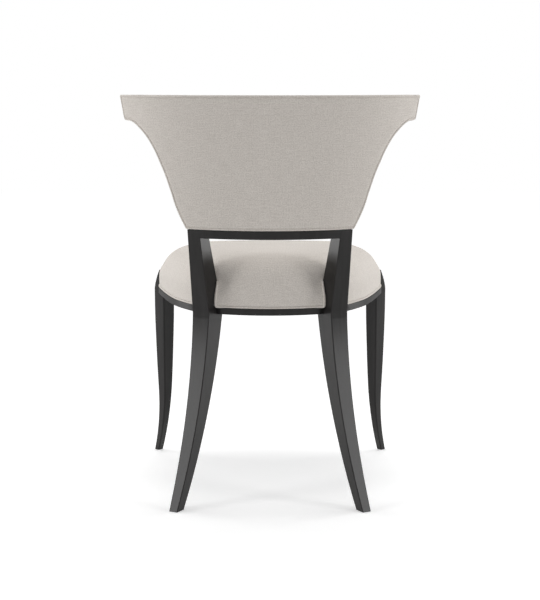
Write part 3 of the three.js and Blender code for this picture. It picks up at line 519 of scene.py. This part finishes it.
def makeOutline():
    arcSteps = seatPlan["arcSteps"]
    arc = [polar(seatPlan["rear"], shell["legAngle"] * step / arcSteps, 0)
           for step in range(arcSteps + 1)]
    front = [Vector((across * seatPlan["halfWidth"], axisY - along * seatPlan["front"], 0))
             for across, along in seatFrontShares]
    side = [Vector((mix(arc[-1].x, front[0].x, across), mix(arc[-1].y, front[0].y, along), 0))
            for across, along in seatSideShares]
    half = arc + side + front
    other = [mirrored(point, -1) for point in half[-2:0:-1]]
    return splineThrough(half + other, seatPlan["steps"], closed=True)


outline = makeOutline()
seatCentre = Vector((0, axisY + (seatPlan["rear"] - seatPlan["front"]) / 2, 0))
outlineCount = len(outline)
outwards = []
for i, point in enumerate(outline):
    along = outline[(i + 1) % outlineCount] - outline[i - 1]
    outward = Vector((along.y, -along.x, 0)).normalized()
    outwards.append(outward if outward.dot(point - seatCentre) > 0 else -outward)


def outlineAt(i, offset, z):
    place = outline[i % outlineCount] + outwards[i % outlineCount] * offset
    return Vector((place.x, place.y, z))


# Front legs: square, turned to the diagonal, a toe that sweeps out and forward and
# a shoulder rolled over towards the cushion

frontLeg = {
    "side": 34, "ease": 3.2, "toeEase": 1.6, "centreX": 247.5, "centreReach": -134.0,
    "toeOut": 20.7, "toeForward": 51, "toeHeight": 170, "foot": 0.8,
    "shoulderStart": 397.8, "shoulderHeight": 46, "shoulderInset": 12, "roll": 1.5, "room": -1.4,
    "legRows": 40, "shoulderRows": 14,
}
frontLegGrowth = [(0, 0.425), (0.14, 0.485), (0.28, 0.575), (0.525, 0.79), (0.82, 0.965), (1, 1)]


def frontLegRings(side, shoulderInset):
    leg = frontLeg
    start, legRows, shoulderRows = leg["shoulderStart"], leg["legRows"], leg["shoulderRows"]
    heights = [mix(leg["foot"], start, i / legRows) for i in range(legRows)]
    heights += [start + leg["shoulderHeight"] * i / shoulderRows for i in range(shoulderRows + 1)]
    rings = []
    for z in heights:
        sweep = max(1 - z / leg["toeHeight"], 0) ** 2
        roll = max((z - start) / leg["shoulderHeight"], 0) ** leg["roll"]
        growth = alongTable(frontLegGrowth, min(z / shell["bandBottom"], 1))
        width = leg["side"] * growth
        lean = shoulderInset * roll
        centre = Vector((leg["centreX"] + leg["toeOut"] * sweep - lean,
                         axisY + leg["centreReach"] - leg["toeForward"] * sweep + lean, z))
        ring = []
        for a, b in easedSection(width, width, mix(leg["toeEase"], leg["ease"], growth)):
            turned = Vector(((a - b) / math.sqrt(2), (a + b) / math.sqrt(2), 0))
            ring.append(mirrored(centre + turned, side))
        rings.append(ring)
    return rings


def makeFrontLeg(side, name):
    wood = finishes["lacquered_wood"]
    leg = loftPiece("frontLeg" + name, frontLegRings(side, 0), wood)
    rolled = loftPiece("roll", frontLegRings(side, frontLeg["shoulderInset"]), wood)
    cutWith(leg, rolled, "INTERSECT")
    rings = [[outlineAt(i, frontLeg["room"], z) for i in range(0, outlineCount, 2)]
             for z in (shell["bandTop"], shell["top"])]
    cutWith(leg, loftPiece("room", rings, wood), "DIFFERENCE")
    shadeSmooth(leg)
    dress(leg, "lacquered_wood", "front_leg_" + name.lower())


for side, name in ((1, "Left"), (-1, "Right")):
    makeFrontLeg(side, name)
print("front legs done")


# Rails: a show-wood band with a rebated upper part that the cover hides

rail = {
    "thickness": 20, "rebate": 5, "ease": 1.2, "intoLeg": 7, "backDepth": 30,
    "backRows": 96, "backShort": 0.02, "easeSteps": 3,
}


def bandSection():  # offset from the outline and height, with eased outer corners
    ease = rail["ease"]
    low, high = shell["bandBottom"], shell["bandTop"]
    inner = -rail["thickness"] - rail["rebate"]
    section = roundedEdge(-ease, low + ease, ease, -math.pi / 2, rail["easeSteps"])
    section += roundedEdge(-ease, high - ease, ease, 0, rail["easeSteps"])
    section += [(-rail["rebate"], high), (-rail["rebate"], shell["railTop"]),
                (inner, shell["railTop"]), (inner, low)]
    return section


def makeRail(name, start, stop, node):
    section = bandSection()
    rings = [[outlineAt(i, offset, z) for offset, z in section] for i in range(start, stop + 1)]
    piece = loftPiece(name, rings, finishes["lacquered_wood"])
    shadeSmooth(piece)
    dress(piece, "lacquered_wood", node)


def outlineIndex(wanted):  # the last outline place, from the rear middle, that is wanted
    return max(i for i in range(outlineCount // 2 + 1) if wanted(outline[i]))


def acrossLeg(point):  # how far a place is beside the rear leg's middle plane
    return point.x * math.cos(shell["legAngle"]) - (point.y - axisY) * math.sin(shell["legAngle"])


halfKnee = rearLeg["kneeWidth"] / 2 - rail["intoLeg"]
frontY = axisY + frontLeg["centreReach"]
halfDiagonal = frontLeg["side"] / math.sqrt(2) - rail["intoLeg"]
rearEnd = outlineIndex(lambda point: acrossLeg(point) < -halfKnee)
sideStart = outlineIndex(lambda point: acrossLeg(point) < halfKnee)
sideEnd = outlineIndex(lambda point: point.y > frontY + halfDiagonal)
frontStart = outlineIndex(lambda point: point.y > frontY - halfDiagonal / 2)
makeRail("seatRailRear", -rearEnd, rearEnd, "seat_rail_rear")
makeRail("seatRailLeft", sideStart, sideEnd, "seat_rail_left")
makeRail("seatRailRight", -sideEnd, -sideStart, "seat_rail_right")
makeRail("seatRailFront", frontStart, outlineCount - frontStart, "seat_rail_front")


def makeBackRail():
    low, high = rearFaceReach(shell["railBottom"]), shell["lowReach"]
    height = shell["railTopOfBack"] - shell["railBottom"]
    section = easedSection(rail["backDepth"], height, rail["ease"], rail["easeSteps"])
    middle = shell["railBottom"] + height / 2
    rings = []
    for i in range(rail["backRows"] + 1):  # it ends just inside the posts
        angle = mix(-1, 1, i / rail["backRows"]) * (shell["legAngle"] - rail["backShort"])
        ring = []
        for out, up in section:
            face = mix(low, high, up / height + 0.5)
            ring.append(polar(face - rail["backDepth"] / 2 + out, angle, middle + up))
        rings.append(ring)
    piece = loftPiece("backRail", rings, finishes["lacquered_wood"])
    shadeSmooth(piece)
    dress(piece, "lacquered_wood", "back_rail")


makeBackRail()
print("rails done")


# Seat cushion: crowned, steep at the rear, round at the sides, notched at the posts

cushion = {
    "crown": 108.7, "clothBottom": 5.4, "postRoom": 0.5, "pushWide": 15, "rings": 58,
    "profileSteps": 10,
}
cushionSides = [  # shares of the crown's height and of the way out from the middle
    (0, 0.992), (0.315, 0.99), (0.495, 0.955), (0.665, 0.906), (0.785, 0.845), (0.855, 0.787),
    (0.905, 0.73), (0.965, 0.66), (0.99, 0.54), (1, 0.27), (1.0005, 0),
]
cushionRears = [
    (0, 1), (0.315, 1), (0.495, 0.988), (0.665, 0.965), (0.785, 0.93), (0.855, 0.89),
    (0.905, 0.845), (0.965, 0.75), (0.99, 0.58), (1, 0.27), (1.0005, 0),
]


def cushionRing(share):  # share runs up the profile, 0 at the edge and 1 at the crown
    places = []
    for table in (cushionSides, cushionRears):
        rows = [Vector((at, left, 0)) for at, left in table]
        line = splineThrough(rows, cushion["profileSteps"])
        place = share * (len(line) - 1)
        i = min(int(place), len(line) - 2)
        places.append(line[i].lerp(line[i + 1], place - i))
    return places


# Beside a post the padding is pushed back over the rail low down and leans away
# higher up: the height above the rail band, and how far back
postPush = [
    (0, 8.5), (8, 9.5), (18, 8.5), (28, 6), (40, 1.5), (50, -3), (60, -5), (75, -3), (95, 0),
    (110, 0),
]
pushes = [alongTable(postPush, rise) for rise in range(postPush[-1][0] + 1)]


def pushedBack(place, rise):
    if place.y < seatCentre.y:
        return place
    onLeft = mirrored(place, -1 if place.x < 0 else 1)
    beside = abs(acrossLeg(onLeft)) - rearLegSize(shell["bandTop"] + rise)[0] / 2
    near = math.exp(-(max(beside, 0) / cushion["pushWide"]) ** 2)
    fromAxis = Vector((place.x, place.y - axisY, 0)).normalized()
    return place + fromAxis * pushes[min(int(rise), len(pushes) - 1)] * near


def laidFlat(rows, top):  # where the cloth's places are when it lies flat, from the top out
    spokes = [Vector((edge.x - top.x, edge.y - top.y)).normalized() for edge in rows[0]]
    runs = [0.0] * len(spokes)
    above = [top] * len(spokes)
    flatRows = []
    for row in reversed(rows):
        runs = [run + (place - before).length for run, place, before in zip(runs, row, above)]
        flatRows.append([(spoke.x * run, spoke.y * run) for spoke, run in zip(spokes, runs)])
        above = row
    return [place for row in reversed(flatRows) for place in row]


def makeCushion():
    rows = []
    count = outlineCount // 2
    rings = cushion["rings"]
    crown = cushion["crown"]
    base = shell["bandTop"]
    for k in range(rings):
        side, rear = cushionRing(k / rings)
        row = []
        for i in range(count):
            edge = outline[2 * i] - seatCentre
            toRear = max(edge.y / edge.length, 0) ** 2
            left = mix(side.y, rear.y, toRear)
            height = mix(side.x, rear.x, toRear) * crown
            z = base + max(height, cushion["clothBottom"])
            place = pushedBack(seatCentre + edge * left, height)
            row.append(Vector((place.x, place.y, z)))
        rows.append(row)
    top = Vector((seatCentre.x, seatCentre.y, base + crown))
    points = [place for row in rows for place in row] + [top]
    uvs = laidFlat(rows, top) + [(0, 0)]
    faces = loftFaces(rings, count)[:-2]
    faces.append(tuple(range(count)))
    last = (rings - 1) * count
    faces += [(last + i, last + (i + 1) % count, len(points) - 1) for i in range(count)]
    piece = meshPiece("seatCushion", points, faces, finishes["linen"], uvs)
    for side in (1, -1):
        post = loftPiece("post", rearLegRings(side, cushion["postRoom"]), finishes["linen"])
        cutWith(piece, post, "DIFFERENCE")
    shadeSmooth(piece, angle=40)
    dress(piece, "linen", "seat_cover", "seat_foam")


makeCushion()
print("cushion done")


# Welts, covered in the same cloth


leaning = Vector((0, 0.3, 1))  # no welt starts along this


def tubePiece(name, line, radius, closed, sides=10):
    count = len(line)
    points, uvs = [], []
    run = 0.0
    across = None
    for i, place in enumerate(line):
        before = line[i - 1] if closed or i > 0 else line[0] * 2 - line[1]
        after = line[(i + 1) % count] if closed or i < count - 1 else line[-1] * 2 - line[-2]
        along = (after - before).normalized()
        start = across if across else along.cross(leaning)
        across = (start - along * start.dot(along)).normalized()
        up = along.cross(across)
        run += (place - before).length
        for j in range(sides):
            turn = j / sides * 2 * math.pi
            points.append(place + (across * math.cos(turn) + up * math.sin(turn)) * radius)
            uvs.append((run, turn * radius))
    return meshPiece(name, points, loftFaces(count, sides, closed), finishes["linen"], uvs)


seatWelt = {
    "radius": 2.4, "inset": 2.2, "rest": 411.2, "riser": 56, "riserStep": 5, "riserOut": 1.5,
    "besidePost": 0.4, "near": 4, "turn": 3, "bend": 0.7, "bendSteps": 8,
}


def riserPlace(side, rise):  # up the post's face, leaning forward with the cushion
    z = seatWelt["rest"] + rise
    across = side * (rearLegSize(z)[0] / 2 + seatWelt["radius"] + seatWelt["besidePost"])
    near = [point for point in outline
            if point.x > 0 and abs(acrossLeg(point) - across) < seatWelt["near"]]
    angle = shell["legAngle"]
    edge = sum(p.x * math.sin(angle) + (p.y - axisY) * math.cos(angle) for p in near) / len(near)
    reach = edge - seatWelt["inset"] + seatWelt["riserOut"]
    return pushedBack(besideLeg(reach, across, z), z - shell["bandTop"])


def makeSeatWelt(side, name, node):  # side is -1 between the posts and 1 outside them
    turn = seatWelt["turn"]
    foot = riserPlace(side, 0)
    rest = seatWelt["rest"]
    low = [pushedBack(outlineAt(i, -seatWelt["inset"], rest), rest - shell["bandTop"])
           for i in range(0, outlineCount // 2 + 1, 2)]
    if side < 0:
        run = [place for place in low if acrossLeg(place) < acrossLeg(foot) - turn]
    else:
        run = [place for place in reversed(low) if acrossLeg(place) > acrossLeg(foot) + turn]
    heights = range(turn, seatWelt["riser"] + 1, seatWelt["riserStep"])
    riser = [riserPlace(side, rise) for rise in heights]
    handles = (run[-1].lerp(foot, seatWelt["bend"]), riser[0].lerp(foot, seatWelt["bend"]))
    bend = interpolate_bezier(run[-1], *handles, riser[0], seatWelt["bendSteps"])
    half = run + bend[1:-1] + riser
    other = [mirrored(place, -1) for place in half[:0:-1]]  # the first is on the middle
    piece = tubePiece(name, other + half, seatWelt["radius"], False)
    shadeSmooth(piece, angle=60)
    dress(piece, "linen", node)


makeSeatWelt(-1, "seatWeltRear", "seat_welt_rear")
makeSeatWelt(1, "seatWeltFront", "seat_welt_front")
print("seat welts done")


# The back: a bowed panel on a cone, its wings flaring to a square tip

back = {
    "wingAngle": math.radians(56.8), "bottom": 576.6, "thickness": 50, "crown": 8, "wall": 36.3,
    "welt": 2.4, "weltGap": 0.3, "weltRoom": 4.5, "columns": 56, "rows": 5, "rowGap": 0.04,
    "tipSlant": 1.02, "roll": 14, "rollRun": 1.6, "rollDrop": 1.7, "rollFall": 2.4, "tuck": 6,
}
wingShares = [
    (0, 0.5705), (0.095, 0.6088), (0.1825, 0.636), (0.274, 0.6543), (0.409, 0.6858),
    (0.5, 0.7145), (0.588, 0.7447), (0.675, 0.788), (0.735, 0.834), (0.782, 0.885),
    (0.803, 0.927), (0.807, 0.9688), (0.8225, 0.994), (0.92, 0.9971), (1, 1),
]


def wingEdge():  # the wing's edge as angle times reach, and height
    wing = back["wingAngle"]
    rows = [Vector((share * wing, mix(back["bottom"], shell["top"], up), 0))
            for up, share in wingShares]
    return [Vector((min(place.x, wing) * coneReach(place.y), place.y, 0))
            for place in splineThrough(rows, back["rows"])]


edgeLine = wingEdge()


def insetEdge(inset):  # the same edge drawn in square to itself
    places = []
    last = len(edgeLine) - 1
    gap = back["rowGap"]
    for i, place in enumerate(edgeLine):
        along = edgeLine[min(i + 1, last)] - edgeLine[max(i - 1, 0)]
        inward = Vector((-along.y, along.x, 0)).normalized()
        moved = place + inward * inset
        low, high = back["bottom"] + inset, shell["top"] - inset
        if i == 0:
            moved = Vector((place.x - inset * (along.length / along.y - along.x / along.y), low, 0))
        if i == last:
            moved = Vector((place.x - inset * back["tipSlant"], high, 0))
        else:
            moved.y = min(max(moved.y, low + gap * i), high - gap * (last - i))
        places.append(moved)
    return places


def backPlace(edge, across, depth):
    z = edge.y
    angle = edge.x / coneReach(z)
    up = (z - back["bottom"]) / (shell["top"] - back["bottom"])
    puff = (1 - across ** 2) * math.sin(math.pi * min(max(up, 0), 1))
    return polar(coneReach(z) - depth(puff), angle * across, z)


def backPanel(name, layers):  # layers of inset and depth, from one face to the other
    width = back["columns"] + 1
    height = len(edgeLine)
    points, uvs = [], []

    def addPlace(edge, across, depth, clothPlace=None):
        points.append(backPlace(edge, across, depth))
        uvs.append(clothPlace or (edge.x * across, edge.y))
        return len(points) - 1

    border = [(0, i) for i in range(width - 1)] + [(row, width - 1) for row in range(height - 1)]
    border += [(height - 1, i) for i in range(width - 1, 0, -1)]
    border += [(row, 0) for row in range(height - 1, 0, -1)]
    shares = [2 * i / (width - 1) - 1 for i in range(width)]
    flatBorder = [Vector((edgeLine[row].x * shares[i], edgeLine[row].y)) for row, i in border]
    runs = [0.0]  # the boxing between the welts is a strip of its own, laid along the border
    for here, onward in zip(flatBorder, flatBorder[1:]):
        runs.append(runs[-1] + (onward - here).length)
    loops, faces = [], []
    for k, (inset, depth) in enumerate(layers):
        edges = insetEdge(inset)
        if k in (0, len(layers) - 1):
            grid = [[addPlace(edge, share, depth) for share in shares] for edge in edges]
            for row in range(height - 1):
                faces += [(grid[row][i], grid[row][i + 1], grid[row + 1][i + 1], grid[row + 1][i])
                          for i in range(width - 1)]
            loops.append([grid[row][i] for row, i in border])
        else:
            onBoxing = inset < back["welt"]
            loop = []
            for (row, i), run in zip(border, runs):
                clothPlace = (run, depth(0)) if onBoxing else None
                loop.append(addPlace(edges[row], shares[i], depth, clothPlace))
            loops.append(loop)
    for one, two in zip(loops, loops[1:]):
        for i in range(len(one)):
            j = (i + 1) % len(one)
            faces.append((one[i], one[j], two[j], two[i]))
    piece = meshPiece(name, points, faces, finishes["linen"], uvs)
    shadeSmooth(piece, angle=60)
    return piece


def flat(depth):
    return lambda puff: depth


def crowned(depth):
    return lambda puff: depth + back["crown"] * puff


def rollOver(steps=5):  # cloth turning over an edge beside a welt: inset and drop
    layers = []
    for step in range(steps + 1):
        share = step / steps
        layers.append((mix(back["weltRoom"], back["roll"], share ** back["rollRun"]),
                       back["rollDrop"] * (1 - share) ** back["rollFall"]))
    return layers


# The boxing from the rear welt to the front one: inset, and depth from the rear face
# for the first places and from the wall's front for the others
rearBoxing = [(back["weltRoom"], 4.6), (1.2, 4.8), (0.3, 5.4), (0, 7)]
frontBoxing = [(0, -2), (0.3, -0.6), (1.4, 0), (back["weltRoom"], 0.4)]


def makeBack():
    rear = [(inset, flat(drop)) for inset, drop in reversed(rollOver())]
    rear.append((back["weltRoom"], flat(back["tuck"])))
    cover = backPanel("backCoverRear", rear)
    dress(cover, "linen", "back_cover_rear", "back_wadding")
    front = [(inset, flat(depth)) for inset, depth in rearBoxing]
    front.append((0, flat(back["wall"] / 2)))
    front += [(inset, flat(back["wall"] + depth)) for inset, depth in frontBoxing]
    frontEdge = back["thickness"] - back["crown"]
    front += [(inset, crowned(frontEdge - drop)) for inset, drop in rollOver()]
    pad = backPanel("backPadFront", front)
    dress(pad, "linen", "back_cover_front", "back_foam")


def makeBackWelt(name, depth, node):
    edges = insetEdge(back["welt"])
    columns = 2 * back["columns"]
    shares = [2 * i / columns - 1 for i in range(columns + 1)]
    line = [backPlace(edges[0], share, flat(depth)) for share in shares[:-1]]
    line += [backPlace(edge, 1, flat(depth)) for edge in edges[:-1]]
    line += [backPlace(edges[-1], share, flat(depth)) for share in shares[:0:-1]]
    line += [backPlace(edge, -1, flat(depth)) for edge in edges[:0:-1]]
    piece = tubePiece(name, line, back["welt"], True)
    shadeSmooth(piece, angle=60)
    dress(piece, "linen", node)


makeBack()
makeBackWelt("backWeltRear", back["welt"], "back_welt_rear")
makeBackWelt("backWeltFront", back["wall"] + back["weltGap"] + back["welt"], "back_welt_front")
print("back done")


# The studio: white floor and background, soft lamps behind, beside and above

studio = {
    "cameraY": 3354.91, "cameraHeight": 871.346, "pitch": math.radians(8.165), "lens": 90.18,
    "sensor": 36, "world": 0.35, "floorHalf": 9000, "floorGrain": 25,
    "floorColours": [(0.3, "#f4f4f4"), (0.7, "#f5f5f5")], "floorGlow": 0.32, "farGlow": 0.74,
    "nearFloor": 1.5, "farFloor": 4.5,
}
softboxes = [  # name, azimuth from behind, reach, height, aim, size and strength
    ("Behind", 63.5, 3.4, 1.46, 1.46, (0.9, 1.95), 5.3),
    ("BesideLow", 119, 3.0, 0.6, 0.6, (0.8, 0.5), 10.4),
    ("BesideHigh", 122, 3.3, 2.4, 0.5, (1.6, 1.4), 2.6),
    ("AcrossHigh", 100, 3.2, 2.4, 0.5, (1.4, 1.4), 1.8),
]
overheads = [  # name, place, aim, size and strength
    ("Above", (0, -0.35, 3.2), (0, 0, 0), (1.2, 1.2), 5.7),
    ("BehindTop", (0, 3.0, 3.0), (0, 0, 0.5), (2.2, 1.0), 1.0),
]


def notDiffuse(owner):  # white for what is seen, mirrored or seen through, but not for soft light
    paths = addNode(owner, "ShaderNodeLightPath").outputs
    seen = paths["Is Camera Ray"]
    for other in ("Is Transmission Ray", "Is Glossy Ray"):
        seen = addNode(owner, "ShaderNodeMath", {0: seen, 1: paths[other]},
                       operation="MAXIMUM").outputs[0]
    return seen


def makeWorld():
    world = bpy.data.worlds.new("studioWorld")
    bpy.context.scene.world = world
    world.use_nodes = True
    world.node_tree.nodes.clear()
    dim = addNode(world, "ShaderNodeBackground", in_Strength=studio["world"])
    white = addNode(world, "ShaderNodeBackground", in_Color=(1, 1, 1, 1))
    blend = addNode(world, "ShaderNodeMixShader",
                    {0: notDiffuse(world), 1: dim.outputs[0], 2: white.outputs[0]})
    addNode(world, "ShaderNodeOutputWorld", {0: blend.outputs[0]})


def makeFloor():
    half = studio["floorHalf"]
    points = [Vector((x * half, y * half, 0)) for x, y in ((-1, -1), (1, -1), (1, 1), (-1, 1))]
    material = newMaterial("whiteStudioFloor", Roughness=0.9, Specular_IOR_Level=0.0,
                           Emission_Color=(1, 1, 1, 1))
    place = addNode(material, "ShaderNodeTexCoord").outputs["Object"]
    grain = addNode(material, "ShaderNodeTexNoise", {0: place},
                    in_Scale=metre / studio["floorGrain"])
    colour = addNode(material, "ShaderNodeValToRGB", {0: grain.outputs[0]},
                     studio["floorColours"])
    away = addNode(material, "ShaderNodeVectorMath", {0: place}, operation="LENGTH")
    glow = addNode(material, "ShaderNodeMapRange", {0: away.outputs["Value"]},
                   in_1=studio["nearFloor"], in_2=studio["farFloor"],
                   in_3=studio["floorGlow"], in_4=studio["farGlow"])
    shown = addNode(material, "ShaderNodeMath", {0: notDiffuse(material), 1: glow.outputs[0]},
                    operation="MULTIPLY")
    intoShader(material, Base_Color=colour.outputs[0], Emission_Strength=shown.outputs[0])
    floor = meshPiece("studioFloor", points, [(0, 1, 2, 3)], material)


def addLamp(name, place, target, size, strength):
    data = bpy.data.lights.new(name, "AREA")
    data.shape = "RECTANGLE"
    data.size, data.size_y = size
    data.energy = strength * size[0] * size[1] * math.pi
    lamp = bpy.data.objects.new(name, data)
    lamp.location = place
    lamp.rotation_euler = (Vector(target) - Vector(place)).to_track_quat("-Z", "Y").to_euler()
    bpy.context.scene.collection.objects.link(lamp)


def makeCamera():
    data = bpy.data.cameras.new("camera")
    data.lens = studio["lens"]
    data.sensor_width = studio["sensor"]
    data.sensor_fit = "AUTO"
    camera = bpy.data.objects.new("camera", data)
    camera.location = (0, (axisY + studio["cameraY"]) * mm, studio["cameraHeight"] * mm)
    camera.rotation_euler = (math.pi / 2 - studio["pitch"], 0, math.pi)
    bpy.context.scene.collection.objects.link(camera)
    bpy.context.scene.camera = camera


makeWorld()
makeFloor()
for side, name in ((1, "Left"), (-1, "Right")):
    for kind, azimuth, reach, height, aim, size, strength in softboxes:
        turn = math.radians(azimuth) * side
        place = (reach * math.sin(turn), reach * math.cos(turn), height)
        addLamp("softbox" + kind + name, place, (0, 0, aim), size, strength)
for kind, place, aim, size, strength in overheads:
    addLamp("softbox" + kind, place, aim, size, strength)
makeCamera()
bpy.context.scene.view_settings.view_transform = "Standard"
print("studio done")
